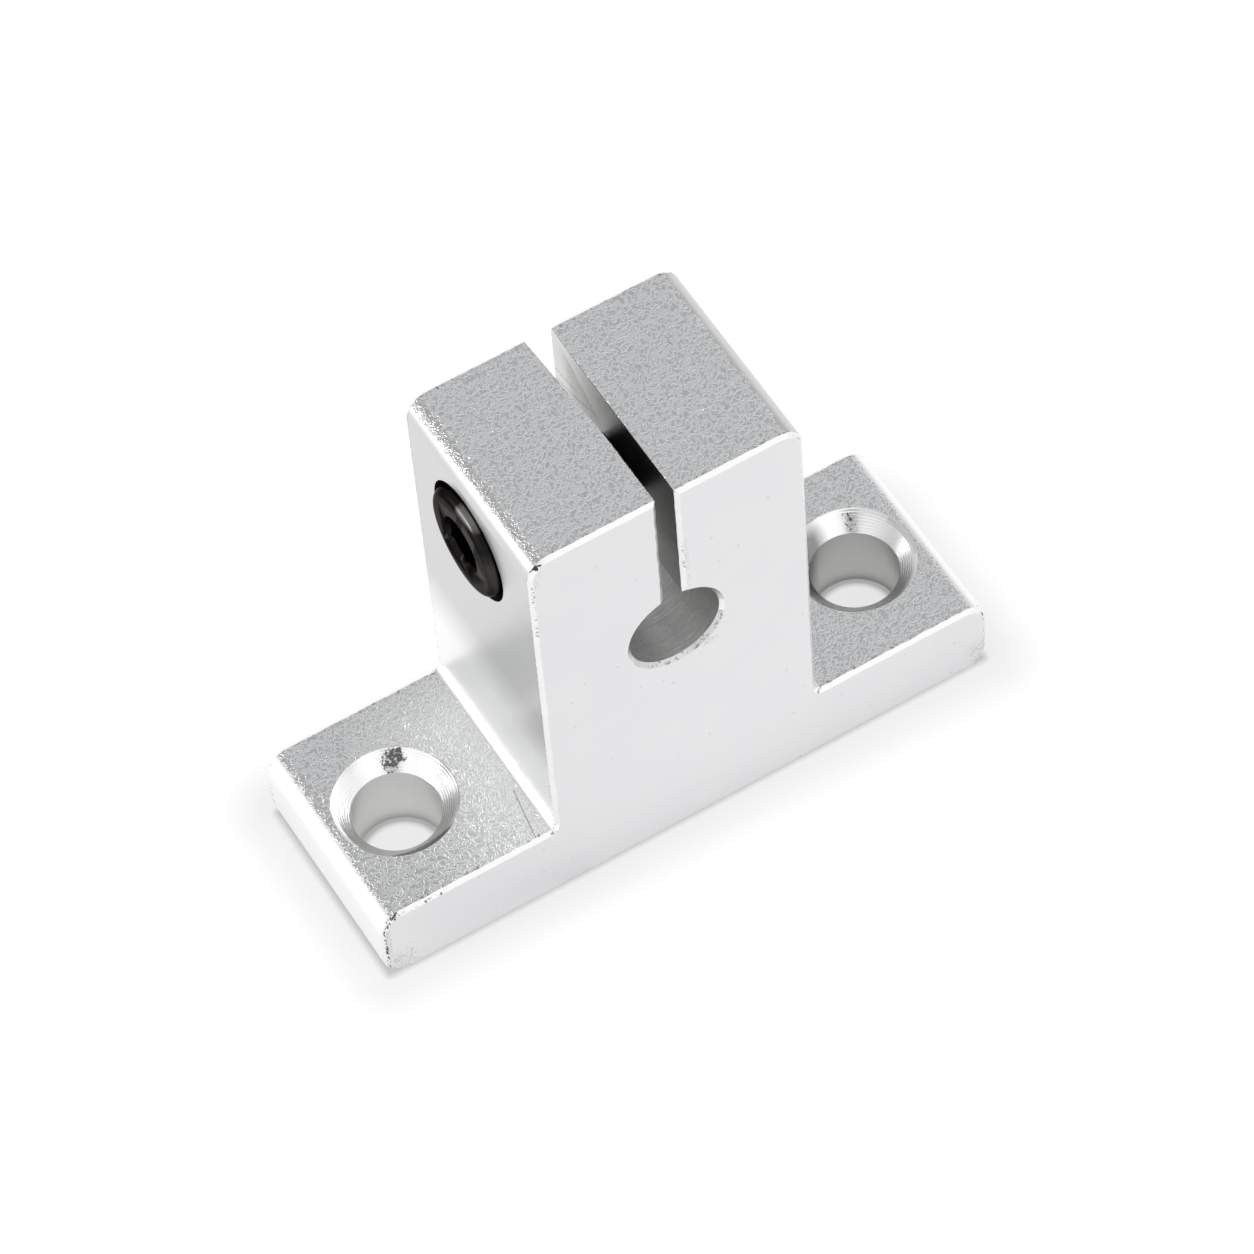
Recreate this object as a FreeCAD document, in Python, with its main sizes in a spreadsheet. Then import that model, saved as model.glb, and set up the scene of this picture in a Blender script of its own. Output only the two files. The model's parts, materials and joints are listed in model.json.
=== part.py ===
import FreeCAD, Part
import math
import os

import Sketcher

# Shaft support block for a 6 mm shaft: a slice of an inverted-T aluminium extrusion with a
# split bore, and the socket head cap screw that closes the split on the shaft.
#
# Millimetres. X runs along the base, Y along the shaft, Z up. The origin is the middle of
# the underside. The front and back faces are the two saw cuts of the slice.

doc = FreeCAD.newDocument("shaft_support_block")

# Driving dimensions: name, value, what it measures.
SIZES = [
    ("base_length", 42.0, "length of the base, end to end"),
    ("depth", 14.0, "front saw cut to back saw cut, along the shaft"),
    ("total_height", 32.8, "underside of the base to the top of the tower"),
    ("base_thickness", 6.0, "thickness of the base's two feet"),
    ("tower_width", 18.0, "width of the tower across the slit"),
    ("base_corner_radius", 1.5, "rounded corners at the ends of the feet"),
    ("tower_corner_radius", 1.5, "rounded corners at the top of the tower"),
    ("inner_corner_radius", 0.5, "hollow between a foot and the tower"),
    ("edge_break", 0.25, "break along the edges of both saw cuts"),
    ("shaft_height", 20.0, "shaft axis above the underside"),
    ("shaft_bore", 6.0, "diameter of the bore for the shaft"),
    ("slit_width", 1.25, "saw slit from the bore to the top"),
    ("bolt_spacing", 32.0, "distance between the two mounting holes"),
    ("bolt_hole", 5.5, "diameter of a mounting hole"),
    ("countersink_rim", 7.7, "diameter of a mounting hole's countersink at the surface"),
    ("countersink_angle", 90.0, "full angle of the countersink, in degrees"),
    ("screw_below_top", 6.0, "clamp screw axis below the top of the tower"),
    ("screw_setback", 0.4, "clamp screw axis behind the middle of the depth"),
    ("thread_diameter", 4.0, "diameter over the clamp screw's thread"),
    ("thread_clearance", 0.05, "radial gap between the screw's thread and the tapped hole"),
    ("thread_lead_in", 0.3, "chamfer at both mouths of the tapped hole"),
    ("shank_clearance", 0.3, "radial gap round the screw in the head-side jaw"),
    ("screw_length", 12.0, "clamp screw length under the head"),
    ("tip_chamfer", 0.5, "chamfer at the screw's tip"),
    ("head_diameter", 7.0, "diameter of the screw's head"),
    ("head_height", 4.0, "height of the screw's head"),
    ("head_rim_radius", 0.5, "rounded rim of the screw's head"),
    ("head_stand_out", 0.5, "how far the tight screw's head stands proud of the tower"),
    ("head_clearance", 0.35, "radial gap between the head and its counterbore"),
    ("seat_gap", 0.02, "gap between the head's underside and its seat"),
    ("socket_width", 3.0, "hexagon socket, across flats"),
    ("socket_depth", 2.1, "depth of the socket's flats"),
    ("socket_lead_in", 0.25, "conical lead-in at the socket's mouth"),
    ("socket_cone_angle", 120.0, "full angle of the drilled cone under the socket"),
    ("cut_overrun", 1.0, "how far the screw's way is turned past the sides of the tower"),
]

sheet = doc.addObject("Spreadsheet::Sheet", "sizes")
for row, (name, value, meaning) in enumerate(SIZES, start=1):
    sheet.set(f"A{row}", meaning)
    sheet.set(f"B{row}", str(value))
    sheet.setAlias(f"B{row}", name)
doc.recompute()


def size(name):
    return float(sheet.get(name))


def tie(thing, prop, formula):
    """Bind a property to a formula in the driving dimensions, each written as <name>."""
    thing.setExpression(prop, formula.replace("<", "sizes.").replace(">", ""))


# Sketch helpers

# A sketch counts the points of a line or arc up from 1, and its own two axes down from -1.
START, END, CENTRE = range(1, 4)
ACROSS_AXIS, UPRIGHT_AXIS = range(-1, -3, -1)
ORIGIN = (ACROSS_AXIS, START)


def new_sketch(body, name, plane, across=None, up=None, out=None):
    """A sketch on one of the body's own origin planes, moved by formulas if any are given."""
    sketch = body.newObject("Sketcher::SketchObject", name)
    support = next(f for f in body.Origin.OriginFeatures if f.Role == plane)
    sketch.AttachmentSupport = (support, [""])
    sketch.MapMode = "FlatFace"
    for coordinate, formula in (("x", across), ("y", up), ("z", out)):
        if formula:
            tie(sketch, f"AttachmentOffset.Base.{coordinate}", formula)
    return sketch


def add_outline(sketch, corners):
    """A closed outline of straight lines. Level and upright lines are held level and upright."""
    count = len(corners)
    points = [FreeCAD.Vector(across, up, 0) for across, up in corners]
    for i in range(count):
        sketch.addGeometry(Part.LineSegment(points[i], points[(i + 1) % count]), False)
    for i in range(count):
        sketch.addConstraint(Sketcher.Constraint("Coincident", i, END, (i + 1) % count, START))
        run = points[(i + 1) % count] - points[i]
        if abs(run.y) < 1e-9:
            sketch.addConstraint(Sketcher.Constraint("Horizontal", i))
        elif abs(run.x) < 1e-9:
            sketch.addConstraint(Sketcher.Constraint("Vertical", i))


def add_distance(sketch, kind, first, second, formula, start):
    """A DistanceX or DistanceY between two points, bound to a formula."""
    index = sketch.addConstraint(Sketcher.Constraint(kind, *first, *second, start))
    tie(sketch, f"Constraints[{index}]", formula)


def add_round(sketch, radius_formula, radius, across=0.0, up=0.0):
    """A full circle; its centre is constrained by the caller."""
    circle = Part.Circle(FreeCAD.Vector(across, up, 0), FreeCAD.Vector(0, 0, 1), radius)
    index = sketch.addGeometry(circle, False)
    bound = sketch.addConstraint(Sketcher.Constraint("Radius", index, radius))
    tie(sketch, f"Constraints[{bound}]", radius_formula)
    return index


def edges_where(feature, test):
    return [f"Edge{i}" for i, edge in enumerate(feature.Shape.Edges, start=1) if test(edge)]


def runs_along_depth(edge, across, up):
    box = edge.BoundBox
    place = FreeCAD.Vector(box.Center.x, 0, box.Center.z)
    return box.YLength > 1 and (place - FreeCAD.Vector(across, 0, up)).Length < 1e-4


def round_along_depth(body, name, base, corners, radius_name):
    """Round the corners of the extrusion's section, given as (across, up) places."""
    fillet = body.newObject("PartDesign::Fillet", name)
    found = edges_where(base, lambda e: any(runs_along_depth(e, x, z) for x, z in corners))
    fillet.Base = (base, found)
    tie(fillet, "Radius", f"<{radius_name}>")
    doc.recompute()
    return fillet


# Support block

def make_support_block():
    body = doc.addObject("PartDesign::Body", "support_block")
    body.Label = "support_block"
    half_base = size("base_length") / 2
    half_tower = size("tower_width") / 2
    foot = size("base_thickness")
    top = size("total_height")

    # The extrusion's section: a wide foot with the tower on its middle.
    section = new_sketch(body, "section", "XZ_Plane")
    corners = [(-half_base, 0), (half_base, 0), (half_base, foot), (half_tower, foot),
               (half_tower, top), (-half_tower, top), (-half_tower, foot), (-half_base, foot)]
    count = len(corners)
    for i, (across, up) in enumerate(corners):
        next_across, next_up = corners[(i + 1) % count]
        line = Part.LineSegment(FreeCAD.Vector(across, up, 0), FreeCAD.Vector(next_across, next_up, 0))
        section.addGeometry(line, False)
    for i in range(count):
        section.addConstraint(Sketcher.Constraint("Coincident", i, END, (i + 1) % count, START))
    bottom, right_end, right_foot, right_side, crown, left_side, left_foot, left_end = range(count)
    for upright in (right_end, right_side, left_side, left_end):
        section.addConstraint(Sketcher.Constraint("Vertical", upright))
    for level in (right_foot, left_foot):
        section.addConstraint(Sketcher.Constraint("Horizontal", level))
    for line in (bottom, crown):
        section.addConstraint(Sketcher.Constraint("Symmetric", line, START, line, END, UPRIGHT_AXIS))
    section.addConstraint(Sketcher.Constraint("PointOnObject", bottom, START, ACROSS_AXIS))
    section.addConstraint(Sketcher.Constraint("Horizontal", right_foot, START, left_foot, END))
    add_distance(section, "DistanceX", (bottom, START), (bottom, END), "<base_length>", 2 * half_base)
    add_distance(section, "DistanceX", (crown, END), (crown, START), "<tower_width>", 2 * half_tower)
    add_distance(section, "DistanceY", ORIGIN, (right_foot, START), "<base_thickness>", foot)
    add_distance(section, "DistanceY", ORIGIN, (crown, START), "<total_height>", top)

    slice_ = body.newObject("PartDesign::Pad", "extrusion_slice")
    slice_.Profile = section
    slice_.SideType = "Symmetric"
    tie(slice_, "Length", "<depth>")
    doc.recompute()

    feet = [(side * half_base, up) for side in (-1, 1) for up in (0, foot)]
    crowns = [(side * half_tower, top) for side in (-1, 1)]
    hollows = [(side * half_tower, foot) for side in (-1, 1)]
    solid = round_along_depth(body, "rounded_feet", slice_, feet, "base_corner_radius")
    solid = round_along_depth(body, "rounded_crown", solid, crowns, "tower_corner_radius")
    solid = round_along_depth(body, "hollow_corners", solid, hollows, "inner_corner_radius")

    # The bore for the shaft, and the slit that lets the two jaws close on it.
    bore_sketch = new_sketch(body, "bore_sketch", "XZ_Plane", up="<shaft_height>")
    bore_circle = add_round(bore_sketch, "<shaft_bore> / 2", size("shaft_bore") / 2)
    bore_sketch.addConstraint(Sketcher.Constraint("Coincident", bore_circle, CENTRE, *ORIGIN))
    bore = body.newObject("PartDesign::Pocket", "bore")
    bore.Profile = bore_sketch
    bore.SideType = "Symmetric"
    bore.Type = "ThroughAll"
    doc.recompute()

    slit_sketch = new_sketch(body, "slit_sketch", "XZ_Plane", up="<shaft_height>")
    half_slit = size("slit_width") / 2
    reach = top - size("shaft_height") + size("slit_width")
    add_outline(slit_sketch, [(-half_slit, 0), (half_slit, 0), (half_slit, reach), (-half_slit, reach)])
    slit_sketch.addConstraint(Sketcher.Constraint("PointOnObject", 0, START, ACROSS_AXIS))
    add_distance(slit_sketch, "DistanceX", (0, START), (0, END), "<slit_width>", 2 * half_slit)
    add_distance(slit_sketch, "DistanceX", ORIGIN, (0, END), "<slit_width> / 2", half_slit)
    add_distance(slit_sketch, "DistanceY", (1, START), (1, END),
                 "<total_height> - <shaft_height> + <slit_width>", reach)
    slit = body.newObject("PartDesign::Pocket", "slit")
    slit.Profile = slit_sketch
    slit.SideType = "Symmetric"
    slit.Type = "ThroughAll"
    doc.recompute()

    # Edge break round both saw cuts, with the bore's and the slit's own edges.
    saw_cut = size("depth") / 2
    breaks = body.newObject("PartDesign::Chamfer", "edge_breaks")
    breaks.Base = (slit, edges_where(slit, lambda e: e.BoundBox.YLength < 1e-6
                                     and abs(abs(e.BoundBox.YMin) - saw_cut) < 1e-6))
    tie(breaks, "Size", "<edge_break>")
    doc.recompute()

    # Two countersunk mounting holes, drilled down through the feet.
    bolt_sketch = new_sketch(body, "bolt_sketch", "XY_Plane", out="<base_thickness>")
    half_spacing = size("bolt_spacing") / 2
    for side in (-1, 1):
        add_round(bolt_sketch, "<bolt_hole> / 2", size("bolt_hole") / 2, across=side * half_spacing)
    bolt_sketch.addConstraint(Sketcher.Constraint("PointOnObject", 0, CENTRE, ACROSS_AXIS))
    bolt_sketch.addConstraint(Sketcher.Constraint("Symmetric", 0, CENTRE, 1, CENTRE, *ORIGIN))
    add_distance(bolt_sketch, "DistanceX", (0, CENTRE), (1, CENTRE), "<bolt_spacing>", 2 * half_spacing)
    doc.recompute()
    bolt_holes = body.newObject("PartDesign::Hole", "bolt_holes")
    bolt_holes.Profile = bolt_sketch
    doc.recompute()
    bolt_holes.DepthType = "ThroughAll"
    bolt_holes.HoleCutType = "Countersink"
    bolt_holes.HoleCutCustomValues = True
    tie(bolt_holes, "Diameter", "<bolt_hole>")
    tie(bolt_holes, "HoleCutDiameter", "<countersink_rim>")
    tie(bolt_holes, "HoleCutCountersinkAngle", "<countersink_angle>")
    doc.recompute()

    # The clamp screw's way through both jaws, turned about the screw's axis: counterbore for
    # the head, clearance hole up to the slit, then the tapped hole out to the far side.
    way = new_sketch(body, "screw_way_sketch", "XZ_Plane",
                     up="<total_height> - <screw_below_top>", out="-<screw_setback>")
    head_bore = size("head_diameter") / 2 + size("head_clearance")
    passage = size("thread_diameter") / 2 + size("shank_clearance")
    tapped = size("thread_diameter") / 2 + size("thread_clearance")
    lead_in = size("thread_lead_in")
    seat = -half_tower + size("head_height") - size("head_stand_out")
    overrun = size("cut_overrun")
    outside = half_tower + overrun
    add_outline(way, [(-outside, 0), (-outside, head_bore), (seat, head_bore), (seat, passage),
                      (0, passage), (half_slit, tapped + lead_in), (half_slit + lead_in, tapped),
                      (half_tower - lead_in, tapped), (outside, tapped + lead_in + overrun), (outside, 0)])
    way.addConstraint(Sketcher.Constraint("PointOnObject", 0, START, ACROSS_AXIS))
    half_tower_formula = "<tower_width> / 2"
    head_bore_formula = "<head_diameter> / 2 + <head_clearance>"
    passage_formula = "<thread_diameter> / 2 + <shank_clearance>"
    tapped_formula = "<thread_diameter> / 2 + <thread_clearance>"
    seat_formula = "<tower_width> / 2 - <head_height> + <head_stand_out>"
    add_distance(way, "DistanceX", (0, START), ORIGIN, f"{half_tower_formula} + <cut_overrun>", outside)
    add_distance(way, "DistanceY", ORIGIN, (0, END), head_bore_formula, head_bore)
    add_distance(way, "DistanceX", (1, END), ORIGIN, seat_formula, -seat)
    add_distance(way, "DistanceY", ORIGIN, (2, END), passage_formula, passage)
    way.addConstraint(Sketcher.Constraint("PointOnObject", 3, END, UPRIGHT_AXIS))
    add_distance(way, "DistanceX", ORIGIN, (4, END), "<slit_width> / 2", half_slit)
    add_distance(way, "DistanceY", ORIGIN, (4, END), f"{tapped_formula} + <thread_lead_in>", tapped + lead_in)
    add_distance(way, "DistanceX", ORIGIN, (5, END), "<slit_width> / 2 + <thread_lead_in>",
                 half_slit + lead_in)
    add_distance(way, "DistanceY", ORIGIN, (5, END), tapped_formula, tapped)
    add_distance(way, "DistanceX", ORIGIN, (6, END), f"{half_tower_formula} - <thread_lead_in>",
                 half_tower - lead_in)
    add_distance(way, "DistanceX", ORIGIN, (7, END), f"{half_tower_formula} + <cut_overrun>", outside)
    add_distance(way, "DistanceY", ORIGIN, (7, END), f"{tapped_formula} + <thread_lead_in> + <cut_overrun>",
                 tapped + lead_in + overrun)
    screw_way = body.newObject("PartDesign::Groove", "screw_way")
    screw_way.Profile = way
    screw_way.ReferenceAxis = (way, ["H_Axis"])
    screw_way.Angle = 360
    doc.recompute()
    body.Tip = screw_way
    return body


# Clamp screw

def make_clamp_screw():
    """Socket head cap screw along X, modelled from the underside of its head."""
    body = doc.addObject("PartDesign::Body", "clamp_screw")
    body.Label = "clamp_screw"
    head_radius = size("head_diameter") / 2
    rim = size("head_rim_radius")
    head = size("head_height")
    thread = size("thread_diameter") / 2
    length = size("screw_length")
    tip = size("tip_chamfer")

    # Half section above the axis; the head's rim is a quarter round.
    half = new_sketch(body, "half_section", "XZ_Plane")
    points = [(-head, 0), (-head, head_radius - rim), (-head + rim, head_radius), (0, head_radius),
              (0, thread), (length - tip, thread), (length, thread - tip), (length, 0)]
    places = [FreeCAD.Vector(across, up, 0) for across, up in points]
    count = len(places)
    rounded = 1
    for i in range(count):
        if i == rounded:
            middle = FreeCAD.Vector(-head + rim, head_radius - rim, 0)
            circle = Part.Circle(middle, FreeCAD.Vector(0, 0, 1), rim)
            half.addGeometry(Part.ArcOfCircle(circle, math.pi / 2, math.pi), False)
        else:
            half.addGeometry(Part.LineSegment(places[i], places[(i + 1) % count]), False)
    face, corner, barrel, underside, shank, chamfer, end, axis = range(count)
    for i in range(count):
        this_end = START if i == corner else END
        next_start = END if (i + 1) % count == corner else START
        half.addConstraint(Sketcher.Constraint("Coincident", i, this_end, (i + 1) % count, next_start))
    for upright in (face, underside, end):
        half.addConstraint(Sketcher.Constraint("Vertical", upright))
    for level in (barrel, shank):
        half.addConstraint(Sketcher.Constraint("Horizontal", level))
    half.addConstraint(Sketcher.Constraint("PointOnObject", face, START, ACROSS_AXIS))
    half.addConstraint(Sketcher.Constraint("PointOnObject", end, END, ACROSS_AXIS))
    half.addConstraint(Sketcher.Constraint("PointOnObject", underside, START, UPRIGHT_AXIS))
    half.addConstraint(Sketcher.Constraint("Vertical", corner, CENTRE, corner, START))
    half.addConstraint(Sketcher.Constraint("Horizontal", corner, CENTRE, corner, END))
    add_distance(half, "DistanceX", (face, START), ORIGIN, "<head_height>", head)
    add_distance(half, "DistanceX", (face, START), (corner, START), "<head_rim_radius>", rim)
    add_distance(half, "DistanceY", ORIGIN, (barrel, END), "<head_diameter> / 2", head_radius)
    add_distance(half, "DistanceY", ORIGIN, (shank, END), "<thread_diameter> / 2", thread)
    add_distance(half, "DistanceX", ORIGIN, (end, START), "<screw_length>", length)
    add_distance(half, "DistanceX", (shank, END), (end, START), "<tip_chamfer>", tip)
    add_distance(half, "DistanceY", (end, START), (shank, END), "<tip_chamfer>", tip)
    turned = body.newObject("PartDesign::Revolution", "turned_blank")
    turned.Profile = half
    turned.ReferenceAxis = (half, ["H_Axis"])
    turned.Angle = 360
    doc.recompute()

    # The hexagon of the socket. At rest it stands on a corner, with two of its flats upright.
    hexagon = new_sketch(body, "socket_hexagon", "YZ_Plane", out="-<head_height>")
    across_flats = size("socket_width")
    corner_radius = across_flats / math.sqrt(3)
    top_corner = FreeCAD.Vector(0, corner_radius, 0)
    corners = [FreeCAD.Rotation(FreeCAD.Vector(0, 0, 1), 60 * i).multVec(top_corner) for i in range(6)]
    for i in range(6):
        hexagon.addGeometry(Part.LineSegment(corners[i], corners[(i + 1) % 6]), False)
    circle = Part.Circle(FreeCAD.Vector(0, 0, 0), FreeCAD.Vector(0, 0, 1), corner_radius)
    through_corners = hexagon.addGeometry(circle, True)
    hexagon.addConstraint(Sketcher.Constraint("Coincident", through_corners, CENTRE, *ORIGIN))
    for i in range(6):
        hexagon.addConstraint(Sketcher.Constraint("Coincident", i, END, (i + 1) % 6, START))
        hexagon.addConstraint(Sketcher.Constraint("PointOnObject", i, END, through_corners))
        if i:
            hexagon.addConstraint(Sketcher.Constraint("Equal", 0, i))
    hexagon.addConstraint(Sketcher.Constraint("PointOnObject", 0, START, UPRIGHT_AXIS))
    bound = hexagon.addConstraint(Sketcher.Constraint("Diameter", through_corners, 2 * corner_radius))
    tie(hexagon, f"Constraints[{bound}]", "2 * <socket_width> / sqrt(3)")
    socket = body.newObject("PartDesign::Pocket", "socket")
    socket.Profile = hexagon
    socket.Reversed = True
    tie(socket, "Length", "<socket_depth>")
    doc.recompute()

    # The drilled cone under the hexagon and the conical lead-in at its mouth, in one turned cut.
    cone = new_sketch(body, "socket_cones", "XZ_Plane", across="-<head_height>")
    mouth = corner_radius + size("socket_lead_in") / 2
    lead_in = size("socket_lead_in")
    drill = across_flats / 2
    depth = size("socket_depth")
    cone_depth = drill / math.tan(math.radians(size("socket_cone_angle") / 2))
    add_outline(cone, [(0, 0), (0, mouth), (lead_in, mouth - lead_in), (lead_in, drill), (depth, drill),
                       (depth + cone_depth, 0)])
    cone.addConstraint(Sketcher.Constraint("Coincident", 0, START, *ORIGIN))
    mouth_formula = "<socket_width> / sqrt(3) + <socket_lead_in> / 2"
    add_distance(cone, "DistanceY", ORIGIN, (0, END), mouth_formula, mouth)
    add_distance(cone, "DistanceX", ORIGIN, (1, END), "<socket_lead_in>", lead_in)
    add_distance(cone, "DistanceY", (1, END), (1, START), "<socket_lead_in>", lead_in)
    add_distance(cone, "DistanceY", ORIGIN, (3, START), "<socket_width> / 2", drill)
    add_distance(cone, "DistanceX", ORIGIN, (3, END), "<socket_depth>", depth)
    add_distance(cone, "DistanceX", (4, START), (4, END),
                 "<socket_width> / 2 / tan(<socket_cone_angle> / 2 * 1 deg)", cone_depth)
    drilled = body.newObject("PartDesign::Groove", "socket_drilling")
    drilled.Profile = cone
    drilled.ReferenceAxis = (cone, ["H_Axis"])
    drilled.Angle = 360
    doc.recompute()
    body.Tip = drilled

    # Tight in the block: the head's underside a hair off its seat in the counterbore.
    tie(body, "Placement.Base.x", "-<tower_width> / 2 + <head_height> - <head_stand_out> - <seat_gap>")
    tie(body, "Placement.Base.y", "<screw_setback>")
    tie(body, "Placement.Base.z", "<total_height> - <screw_below_top>")
    doc.recompute()
    return body


nodes = [make_support_block(), make_clamp_screw()]
doc.recompute()

for thing in doc.Objects:
    bad = [state for state in thing.State if state in ("Invalid", "Error")]
    if bad:
        raise RuntimeError(f"{thing.Name} failed: {bad}")
for node in nodes:
    if node.Shape.isNull() or not node.Shape.isValid():
        raise RuntimeError(f"{node.Label} has no valid shape")

os.makedirs("parts", exist_ok=True)
for node in nodes:
    node.Shape.exportStep(os.path.join("parts", f"{node.Label}.step"))
    box = node.Shape.BoundBox
    print(f"{node.Label}: {len(node.Shape.Solids)} solid, {node.Shape.Volume:.1f} mm3, "
          f"x {box.XMin:.2f} to {box.XMax:.2f}, y {box.YMin:.2f} to {box.YMax:.2f}, "
          f"z {box.ZMin:.2f} to {box.ZMax:.2f}")
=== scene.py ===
import json
import math

import bmesh
import bpy
from mathutils import Matrix, Vector, noise


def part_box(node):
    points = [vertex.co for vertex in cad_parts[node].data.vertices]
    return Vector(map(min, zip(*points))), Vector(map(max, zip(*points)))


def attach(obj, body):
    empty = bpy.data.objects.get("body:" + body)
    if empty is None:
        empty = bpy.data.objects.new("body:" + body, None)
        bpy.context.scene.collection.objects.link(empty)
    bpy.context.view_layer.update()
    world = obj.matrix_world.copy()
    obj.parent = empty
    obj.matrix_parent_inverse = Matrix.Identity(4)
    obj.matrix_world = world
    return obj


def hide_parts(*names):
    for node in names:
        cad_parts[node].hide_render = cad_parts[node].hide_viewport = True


# Shaft support block for a 6 mm shaft, with its clamp screw, on a white studio floor.
# Metres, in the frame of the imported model: X along the base, Y along the shaft, Z up.

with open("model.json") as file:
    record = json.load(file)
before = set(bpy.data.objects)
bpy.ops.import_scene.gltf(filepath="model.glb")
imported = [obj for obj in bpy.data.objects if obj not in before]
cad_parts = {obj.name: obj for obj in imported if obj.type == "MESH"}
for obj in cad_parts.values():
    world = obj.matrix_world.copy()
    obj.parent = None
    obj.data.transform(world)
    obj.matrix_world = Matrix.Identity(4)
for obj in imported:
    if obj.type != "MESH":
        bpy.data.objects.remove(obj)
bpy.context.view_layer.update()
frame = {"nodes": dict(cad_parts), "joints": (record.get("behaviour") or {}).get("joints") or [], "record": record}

MM = 0.001

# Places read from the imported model
BASE_HALF, DEPTH_HALF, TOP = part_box("support_block")[1]
screw_low, screw_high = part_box("clamp_screw")
mounts = {mount["name"]: mount for mount in frame["record"]["mounts"]}
SHAFT_HEIGHT = mounts["shaft_clamp"]["pos_m"][2]
BORE_RADIUS = mounts["shaft_clamp"]["dims"]["r_mm"] * MM
BOLT_X = mounts["base_bolts"]["dims"]["spacing_x_mm"] / 2 * MM
BOLT_RADIUS = mounts["base_bolts"]["dims"]["hole_r_mm"] * MM
SCREW_AXIS = Vector(frame["joints"][0]["pos_m"])

# Sizes of the block that its box doesn't give
FOOT = 6 * MM
TOWER_HALF = 9 * MM
SLIT_HALF = 0.625 * MM
EDGE_BREAK = 0.25 * MM
COUNTERSINK_RADIUS = 3.85 * MM
COUNTERBORE_RADIUS = 3.85 * MM
CLEARANCE_RADIUS = 2.4 * MM

# The facet filed on the left jaw: where it starts, and how wide and how deep it is at the back
FACET_FRONT = -2.5 * MM
FACET_WIDTH = 0.5 * MM
FACET_DROP = 1.5 * MM

# The edge breaks' waviness, the length of its waves and steps, and how far the break's inner side lies
# from the outer one in the noise, so that each side has a waviness of its own
RAG = 0.06 * MM
RAG_WAVE = 0.45 * MM
RAG_STEP = 0.3 * MM
RAG_SHIFT = Vector((7, 3, 5))

# The softened rims, and the borders of the large flats
RIM = 0.06 * MM
FLAT_BORDER = 0.03 * MM
LEAST_FLAT_AREA = (2 * MM) ** 2

# Sizes of the clamp screw, M4 x 12
SHANK_RADIUS = 2.0 * MM
HEAD_HEIGHT = 4 * MM
TIP_CHAMFER = 0.5 * MM
PITCH = 0.7 * MM
THREAD_DEPTH = 0.4 * MM
THREAD_START = 0.1 * MM
THREAD_NECK = 0.5 * MM
THREAD_RUN_OUT = 0.8 * MM
THREAD_STEPS = 48
# One pitch of the thread's outline: how far along, in mm, and how deep, as a share of the full depth
THREAD_OUTLINE = [(0, 0), (0.09, 0), (0.3, 0.97), (0.35, 1), (0.4, 0.97), (0.61, 0), (0.7, 0)]
SOCKET_CORNER_RADIUS = 1.74 * MM
SOCKET_MOUTH_RADIUS = 1.84 * MM
SOCKET_LEAD_IN = 0.2 * MM

# Distances below which two places are the same, and within which a rim is found by its size
TINY = 1e-6
CLOSE = 0.02 * MM

# Angles between two faces below which they are shaded as one, lie in one plane and are joined
SMOOTH_ANGLE = math.radians(24)
FLAT_ANGLE = 0.01
JOIN_ANGLE = math.radians(0.4)

# How often the blasted wrinkles repeat as the noise that bends them changes
WORM_TURNS = 28.0

# Marks left by the tools, and patches of painted shade and painted light, in mm: the middle and half
# length each way of a box, how far the mark fades outside it, and how dense its specks or its paint are
EDGE_MARKS = [((-20.8, -7, 2.9), (0.3, 0.2, 3.1), 0.5, 0.2),
              ((-8.85, -7, 28.4), (0.1, 0.2, 2.2), 0.6, 0.12),
              ((-18.2, -7, 6.0), (1.6, 0.2, 0.1), 0.3, 0.15),
              ((20.8, -7, 2.6), (0.2, 0.2, 2.4), 0.5, 0.15),
              ((8.8, -7, 32.3), (0.2, 0.2, 0.2), 0.5, 0.2),
              ((0.75, -7, 25.4), (0.1, 0.2, 1.8), 0.5, 0.09)]
CHATTER_MARKS = [((1.7, -7, 17.15), (0.85, 0.3, 0.45), 0.2, 0.36),
                 ((-8.6, -7, 32.4), (0.25, 0.3, 0.1), 0.35, 0.32),
                 ((-20.2, -7, 5.85), (0.2, 0.3, 0.1), 0.4, 0.25)]
SAWN_MARKS = [((-20.0, -7, 1.0), (0.6, 0.1, 0.6), 1.2, 0.16),
              ((20.4, -7, 1.2), (0.4, 0.1, 0.8), 0.9, 0.16),
              ((-20.7, -7, 3.0), (0.1, 0.1, 2.4), 0.35, 0.16),
              ((0.95, -7, 25.8), (0.1, 0.1, 2.2), 0.2, 0.12),
              ((2.1, -7, 17.05), (0.4, 0.1, 0.15), 0.3, 0.16),
              ((-8.6, -7, 31.6), (0.1, 0.1, 0.8), 0.4, 0.14)]
CONE_MARKS = [((-14.4, 3.0, 5.5), (0.5, 0.25, 0.6), 0.4, 0.26),
              ((17.5, 3.0, 5.5), (0.1, 0.3, 0.6), 0.3, 0.2)]
# Painted shade on the countersinks: on the left side of the right one, where the tower shades it, along the left
# one's front rim, and in soft patches on their right sides.
CONE_PAINTED_SHADE = [((-12.6, -0.8, 5.4), (0.2, 1.4, 0.6), 1.2, 0.65),
             ((-16, -3.7, 5.5), (3.0, 0.35, 0.6), 0.3, 1.0),
             ((14.0, 1.5, 5.4), (1.0, 1.6, 0.6), 1.0, 1.0),
             ((19.0, -1.4, 5.4), (0.3, 1.0, 0.6), 1.0, 0.1)]
# Painted shade on the right hole's drilled wall, where the tower shades it: a little all round, most on its left
# side.
HOLE_PAINTED_SHADE = [((13.6, 1.0, 3.0), (0.4, 1.6, 3.0), 1.6, 1.0),
             ((16.0, 0.0, 3.0), (3.0, 3.0, 3.0), 1.0, 0.35)]
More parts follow.
